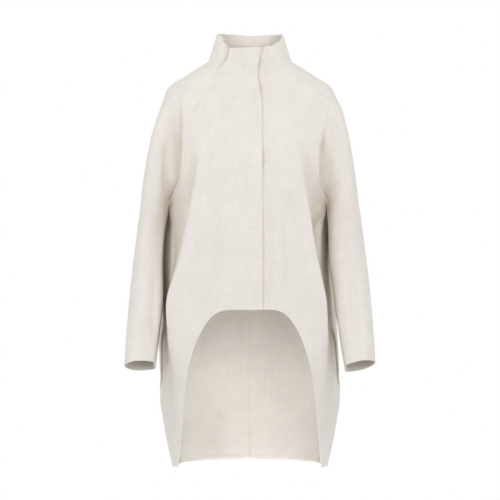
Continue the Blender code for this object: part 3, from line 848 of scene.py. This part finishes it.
def front_grid(side, columns, rows):
    """Places (t, z) of a front panel's points, fitted to its arched hem."""
    t_arch, z_arch = arch_line(side)
    step = np.hypot(np.diff(t_arch) * FRONT_BREADTH, np.diff(z_arch))
    length = np.concatenate([[0], np.cumsum(step)]) / step.sum()
    across = (t_arch - t_arch[0]) / (t_arch[-1] - t_arch[0])
    s = columns
    t_foot, z_foot = (np.interp(s, 0.5 * length + 0.5 * across, line) for line in (t_arch, z_arch))
    if side == "left":
        z_foot = z_foot + UNDERLAP_SHORTER * (1 - smooth(s, 0.0, 0.25))
    fall = rows[:, None]
    head = front_head(s, side)
    z = head + fall * (z_foot - head)
    edge = front_edge(z[:, :1], side)
    t_head = edge + (1 - edge) * s
    return t_head + (t_foot - t_foot[0] * (1 - s) - s) * fall**1.5, z


def make_front(side):
    """One front, with the front of the collar cut on and the arched hem."""
    name = "front_" + side
    t, z = front_grid(side, crowd(FRONT_MESH[0]), crowd(FRONT_MESH[1]))
    points, way = base_points(np.maximum(t, 0), z, side, False)
    points[..., 0] += np.minimum(t, 0) * PAST_CENTRE * (-1 if side == "right" else 1)
    if side == "left":
        low, high = LAP_BLEND
        limit = np.minimum(high, 0.96 * outer_seam(z, "front")[..., 0])
        points[..., 1] += LAP_STEP * (1 - smooth(points[..., 0], low, limit))
    far = distances(points)
    seed = FRONT_SEED[side]
    height = (folds(name, points) + slack(points, seed)) * smooth(far["last"], 0, CALM)
    shows = RAISED[side] * smooth(z, *RAISED_SPAN) * smooth(NECK_TIP - z, -10, 10)
    height += sewn(far["last"], far["head"], seed) * shows
    height += stitched(far["foot"], HEM_STITCH, far["first"], seed) * 0.5
    if side == "right":
        height += TUCK * hump(far["last"], 0, TUCK_REACH["front"]) * smooth(z, *TUCK_SPAN)
        height += edge_gape(far["first"], z)
        height += facing_mark(far["first"], z)
    finish_piece(name, points, way, height, 0 * height, edges("head", "first", "foot"))


def facing_mark(far, z):
    """The faint sunk line of the facing's inner edge, on the chest only."""
    return -0.8 * hump(far, FACING, 5) * smooth(-z, 110, 150) * smooth(z, -330, -250)


def edge_gape(far, z):
    """The front edge stands off between its hidden fastenings."""
    lift = np.zeros_like(z)
    for place, span, size in zip(*(GAPE[k] for k in GAPE)):
        lift += size * np.exp(-(((z - place) / span) ** 2))
    return lift * hump(far, 0, GAPE_REACH)


def make_back(side):
    """One half of the back, from the neckline to the hem."""
    name = "back_" + side
    t = 3 + crowd(BACK_MESH[0])[None, :] + 0 * crowd(BACK_MESH[1])[:, None]
    top = column(COLLAR, "t", "neckline", t[0])
    z = top + crowd(BACK_MESH[1])[:, None] * (HEM - top)
    points, way = base_points(t, z, side, False)
    far = distances(points)
    seed = BACK_SEED[side]
    height = folds(name, points) + slack(points, seed)
    height *= smooth(far["first"], 0, CALM) * smooth(far["last"], 0, CALM)
    height += sewn(far["first"], far["head"], seed) * RAISED["back"] * smooth(z, *RAISED_SPAN)
    height += stitched(far["foot"], HEM_STITCH, far["first"], seed) * 0.6
    height += sewn(far["last"], far["head"], seed) * 0.8
    inside = 0 * height
    if side == "right":
        inside = felled(far["last"], CENTRE_FELL)
    inside += 0.5 * felled(far["foot"], HEM_STITCH)
    finish_piece(name, points, way, height, inside, edges("foot"))


def cuff_height(t, side):
    """Heights round the cuff's edge."""
    level = np.full_like(t, CUFF)
    points = sleeve(t, level, side)
    middle = np.array([(points[:, 0].min() + points[:, 0].max()) / 2, SLEEVE_LINE["outer_y"][0]])
    rise = np.array([CUFF_RISE_OUTER[side], -CUFF_RISE_FRONT])
    return CUFF + (points - middle) @ rise


def make_sleeve(side, half):
    """The front or the back half of one sleeve, from the neckline to the cuff."""
    name = f"sleeve_{side}_{half}"
    start = 1.0 if half == "front" else 2.0
    places = start + crowd(SLEEVE_MESH[0])
    top = column(COLLAR, "t", "neckline", places)
    z = top + crowd(SLEEVE_MESH[1])[:, None] * (cuff_height(places, side) - top)
    t = places[None, :] + 0 * z
    points, way = base_points(t, z, side, True)
    far = distances(points)
    seed = SLEEVE_SEED[half] + (side == "left")
    height = folds(name, points) + slack(points, seed)
    height *= smooth(far["first"], 0, CALM) * smooth(far["last"], 0, CALM)
    raglan, overarm = ("first", "last") if half == "front" else ("last", "first")
    raised = RAISED[side if half == "front" else "back"]
    height += sewn(far[raglan], far["head"], seed) * raised * smooth(z, *RAISED_SPAN)
    height += sewn(far[overarm], far["head"], seed) * 0.8
    height += stitched(far["foot"], CUFF_STITCH, far["first"], seed) * 0.6
    inside = 0.5 * felled(far["foot"], CUFF_STITCH)
    finish_piece(name, points, way, height, inside, edges("foot"))


def collar_half(side):
    """Points of the collar from the throat to centre back on one side."""
    step = crowd(COLLAR_MESH[0])
    places = np.concatenate([1 + step, 2 + step[1:], 3 + step[1:]])
    low = column(COLLAR, "t", "neckline", places)
    high = column(COLLAR, "t", "top_" + side, places)
    z = high + crowd(COLLAR_MESH[1])[:, None] * (low - high)
    t = places[None, :] + 0 * z
    points, way = base_points(t, z, side, True)
    return points, way, z


def make_collar():
    """The collar, from the right of the throat round the back to the left."""
    right, left = collar_half("right"), collar_half("left")
    points, way, z = (np.concatenate([a, b[:, -2::-1]], axis=1) for a, b in zip(right, left))
    far = distances(points)
    height = slack(points, COLLAR_SEED)
    height += sewn(far["foot"], far["first"], COLLAR_SEED) * 0.7
    height += TUCK * hump(far["first"], 0, TUCK_REACH["collar"]) * smooth(z, *TUCK_SPAN)
    height += stitched(far["head"], COLLAR_STITCH, far["first"], COLLAR_SEED) * 0.5
    inside = 0.4 * felled(far["head"], COLLAR_STITCH)
    finish_piece("collar", points, way, height, inside, edges("head"))


def make_pocket(side):
    """The facing seen in the open side seam pocket, laid behind back and front."""
    count = len(POCKET_PLACES)
    across = np.interp(crowd(POCKET_MESH[0]), np.linspace(0, 1, count), np.arange(count))
    lower = np.floor(across).astype(int).clip(0, count - 2)
    z = POCKET_HEAD + crowd(POCKET_MESH[1])[:, None] * (POCKET_FOOT - POCKET_HEAD) + 0 * across
    walls = []
    for place, clear in zip(POCKET_PLACES, POCKET_CLEAR):
        points, way = base_points(np.full_like(z[:, :1], place), z[:, :1], side, False)
        walls.append((points - way * (CLOTH + clear), way))
    points, way = (np.concatenate([wall[k] for wall in walls], axis=1) for k in (0, 1))
    r = (across - lower)[None, :, None]
    points = points[:, lower] * (1 - r) + points[:, lower + 1] * r
    way = unit(way[:, lower] * (1 - r) + way[:, lower + 1] * r)
    name = "pocket_" + side
    height = 0 * z
    finish_piece(name, points, way, height, height, edges())


def make_wool():
    """Matt brushed wool: streaks of warp and weft, fine fuzz, and a faint unevenness of colour."""
    material = bpy.data.materials.new("ivory_wool")
    material.use_nodes = True
    nodes, links = material.node_tree.nodes, material.node_tree.links
    shader = nodes["Principled BSDF"]
    shader.inputs["Roughness"].default_value = 0.95
    shader.inputs["Specular IOR Level"].default_value = 0.15
    shader.inputs["Sheen Weight"].default_value = 0.12
    shader.inputs["Sheen Roughness"].default_value = 0.6
    place = nodes.new("ShaderNodeTexCoord")

    def noise(scale, source, detail):
        stretch = nodes.new("ShaderNodeMapping")
        stretch.inputs["Scale"].default_value = scale
        links.new(place.outputs[source], stretch.inputs["Vector"])
        texture = nodes.new("ShaderNodeTexNoise")
        texture.inputs["Scale"].default_value = 1.0
        texture.inputs["Detail"].default_value = detail
        links.new(stretch.outputs["Vector"], texture.inputs["Vector"])
        return texture.outputs["Fac"]

    def join(kind, first, second):
        math_node = nodes.new("ShaderNodeMath")
        math_node.operation = kind
        for socket, value in zip(math_node.inputs, (first, second)):
            if isinstance(value, float):
                socket.default_value = value
            else:
                links.new(value, socket)
        return math_node.outputs[0]

    warp = noise((240.0, 20.0, 1.0), "UV", 3.0)
    weft = noise((20.0, 240.0, 1.0), "UV", 3.0)
    fuzz = noise((1100.0, 1100.0, 1100.0), "Object", 3.0)
    mottle = noise((26.0, 26.0, 26.0), "Object", 2.0)
    weave = join("MULTIPLY", join("ADD", warp, weft), 0.5)
    tone = join("ADD", join("MULTIPLY", weave, 0.7), join("MULTIPLY", mottle, 0.3))
    ramp = nodes.new("ShaderNodeValToRGB")
    ramp.color_ramp.elements[0].position = 0.3
    ramp.color_ramp.elements[1].position = 0.7
    ramp.color_ramp.elements[0].color = (*(c * DARK_THREAD for c in IVORY), 1)
    ramp.color_ramp.elements[1].color = (*(min(1, c * PALE_THREAD) for c in IVORY), 1)
    links.new(tone, ramp.inputs["Fac"])
    links.new(ramp.outputs["Color"], shader.inputs["Base Color"])
    bump = nodes.new("ShaderNodeBump")
    bump.inputs["Strength"].default_value = 0.5
    bump.inputs["Distance"].default_value = 0.0008
    links.new(join("ADD", weave, join("MULTIPLY", fuzz, 0.35)), bump.inputs["Height"])
    links.new(bump.outputs["Normal"], shader.inputs["Normal"])
    return material


def make_floor():
    """A pale round floor, below the coat and out of the photograph's frame."""
    turn = np.linspace(0, 2 * np.pi, 97)[:-1]
    ring = [(FLOOR_RADIUS * math.cos(a), FLOOR_RADIUS * math.sin(a), FLOOR * MM) for a in turn]
    mesh = bpy.data.meshes.new("floor")
    mesh.from_pydata(ring, [], [range(len(ring))])
    floor = bpy.data.objects.new("floor", mesh)
    bpy.context.scene.collection.objects.link(floor)
    material = bpy.data.materials.new("pale_floor")
    material.use_nodes = True
    shader = material.node_tree.nodes["Principled BSDF"]
    shader.inputs["Base Color"].default_value = FLOOR_GREY
    shader.inputs["Roughness"].default_value = 0.9
    mesh.materials.append(material)


def make_sky():
    """A white studio wall behind the coat, and dimmer surroundings."""
    world = bpy.data.worlds.new("studio")
    world.use_nodes = True
    bpy.context.scene.world = world
    nodes, links = world.node_tree.nodes, world.node_tree.links
    place = nodes.new("ShaderNodeTexCoord")
    parts = nodes.new("ShaderNodeSeparateXYZ")
    links.new(place.outputs["Generated"], parts.inputs["Vector"])
    span = nodes.new("ShaderNodeMapRange")
    span.inputs["From Min"].default_value = -1.0
    span.inputs["From Max"].default_value = 1.0
    links.new(parts.outputs["Y"], span.inputs["Value"])
    ramp = nodes.new("ShaderNodeValToRGB")
    steps = ramp.color_ramp.elements
    for k, (y, level) in enumerate(zip(ROOM["y"], ROOM["level"])):
        place_on = 0.5 + 0.5 * y
        step = steps[k] if k < 2 else steps.new(place_on)
        step.position = place_on
        tint = (1.0, 1.0, 1.0) if y > WALL else COOL
        step.color = (*(c * level for c in tint), 1)
    links.new(span.outputs["Result"], ramp.inputs["Fac"])
    links.new(ramp.outputs["Color"], nodes["Background"].inputs["Color"])


def make_lights():
    """Soft boxes in front and above, and two small ones for the insides of the neck and the back."""
    for name, x, y, z, size, power, spread in SOFT_BOXES:
        light = bpy.data.lights.new(name, "AREA")
        light.shape = "SQUARE"
        light.size = size
        light.energy = power
        light.color = COLD if name == "hem" else COOL
        light.spread = math.radians(spread)
        lamp = bpy.data.objects.new(name, light)
        lamp.location = (x, y, z)
        target = np.array(AIMS.get(name, COAT_MIDDLE))
        way = unit(target - np.array([x, y, z]))
        lamp.rotation_euler = (math.acos(-way[2]), 0.0, math.atan2(-way[0], way[1]))
        bpy.context.scene.collection.objects.link(lamp)


def make_camera():
    """A long lens, level and square to the front, as in the photograph."""
    lens = bpy.data.cameras.new("photo")
    lens.sensor_width = FILM
    lens.lens = FILM * CAMERA_FAR / PICTURE_BREADTH
    camera = bpy.data.objects.new("photo", lens)
    camera.location = (0.0, -CAMERA_FAR, CAMERA_HEIGHT)
    camera.rotation_euler = (math.radians(90), 0.0, 0.0)
    bpy.context.scene.collection.objects.link(camera)
    bpy.context.scene.camera = camera


wool = make_wool()
for side in ("right", "left"):
    make_front(side)
    make_back(side)
    make_sleeve(side, "front")
    make_sleeve(side, "back")
    make_pocket(side)
make_collar()
make_floor()
make_sky()
make_lights()
make_camera()
bpy.context.scene.view_settings.view_transform = "Standard"
